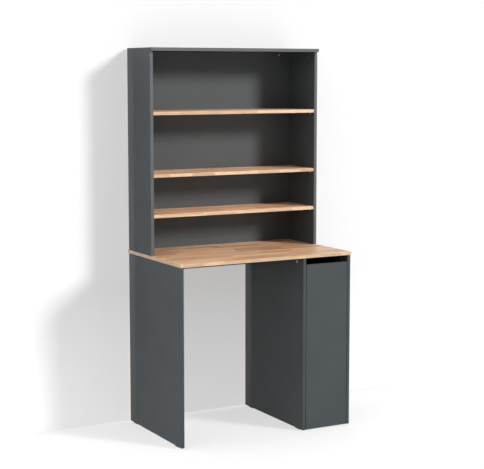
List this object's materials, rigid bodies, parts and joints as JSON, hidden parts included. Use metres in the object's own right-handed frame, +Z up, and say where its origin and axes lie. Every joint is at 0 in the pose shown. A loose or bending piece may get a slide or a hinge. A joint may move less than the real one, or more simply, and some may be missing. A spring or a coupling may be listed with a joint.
{
  "type": "washing machine cabinet",
  "caption": "Tall washing machine cabinet: graphite panels and oak-look worktop over an open machine bay, a narrow laundry pull-out beside it and an open hutch with shelves above.",
  "frame": {"origin": "centre of the footprint's bounding box, on the floor", "axes": "+X to the right seen from the front, +Y towards the wall behind, +Z up"},
  "size_m": [0.94, 0.6, 1.876],
  "materials": {
    "graphite_board": "matt melamine-faced particle board with edge bands",
    "oak_board": "melamine-faced particle board printed as light oak block board",
    "thin_back": "painted thin fibreboard",
    "runner_steel": "zinc-plated, satin",
    "ball_steel": "polished",
    "cage_steel": "satin",
    "zinc_fitting": "zinc-plated",
    "beech_dowel": "bare beech",
    "cap_plastic": "matt",
    "glide_plastic": "matt",
    "buffer_rubber": "soft",
    "black_bracket": "matt black"
  },
  "bodies": {
    "cabinet": {"base_cam_bolts": "zinc_fitting", "base_cams": "zinc_fitting", "bay_rear_rail": "graphite_board", "carcass_dowels": "beech_dowel", "compartment_back": "thin_back", "compartment_floor": "graphite_board", "divider_panel": "graphite_board", "floor_glides": "glide_plastic", "hutch_back": "thin_back", "hutch_cam_bolts": "zinc_fitting", "hutch_cams": "cap_plastic", "hutch_left_side": "graphite_board", "hutch_right_side": "graphite_board", "hutch_top": "graphite_board", "left_runner_cabinet_member": "runner_steel", "left_side_panel": "graphite_board", "right_runner_cabinet_member": "runner_steel", "right_side_panel": "graphite_board", "runner_wall_screws": "zinc_fitting", "shelf_lower": "oak_board", "shelf_middle": "oak_board", "shelf_supports": "zinc_fitting", "shelf_upper": "oak_board", "stop_buffers": "buffer_rubber", "wall_bracket_screws": "zinc_fitting", "wall_brackets": "black_bracket", "worktop": "oak_board"},
    "pullout": {"pullout_front": "graphite_board", "bin_left_side": "graphite_board", "bin_right_side": "graphite_board", "bin_back": "graphite_board", "bin_floor": "graphite_board", "pullout_dowels": "beech_dowel", "left_runner_drawer_member": "runner_steel", "right_runner_drawer_member": "runner_steel", "runner_bin_screws": "zinc_fitting"},
    "runner_middles": {"left_runner_middle_member": "runner_steel", "right_runner_middle_member": "runner_steel"},
    "outer_ball_rows": {"outer_ball_cages": "cage_steel", "outer_balls": "ball_steel"},
    "inner_ball_rows": {"inner_ball_cages": "cage_steel", "inner_balls": "ball_steel"}
  },
  "joints": [
    {"name": "pullout_slide", "type": "slide", "parent": "cabinet", "child": "pullout", "axis": [0, -1, 0], "range_m": [0, 0.45]},
    {"name": "middle_slide", "type": "slide", "parent": "cabinet", "child": "runner_middles", "axis": [0, -1, 0], "range_m": [0, 0.225]},
    {"name": "outer_row_slide", "type": "slide", "parent": "cabinet", "child": "outer_ball_rows", "axis": [0, -1, 0], "range_m": [0, 0.1125]},
    {"name": "inner_row_slide", "type": "slide", "parent": "cabinet", "child": "inner_ball_rows", "axis": [0, -1, 0], "range_m": [0, 0.3375]}
  ],
  "couplings": [
    {"joint": "middle_slide", "follows": "pullout_slide", "ratio": 0.5},
    {"joint": "outer_row_slide", "follows": "pullout_slide", "ratio": 0.25},
    {"joint": "inner_row_slide", "follows": "pullout_slide", "ratio": 0.75}
  ]
}
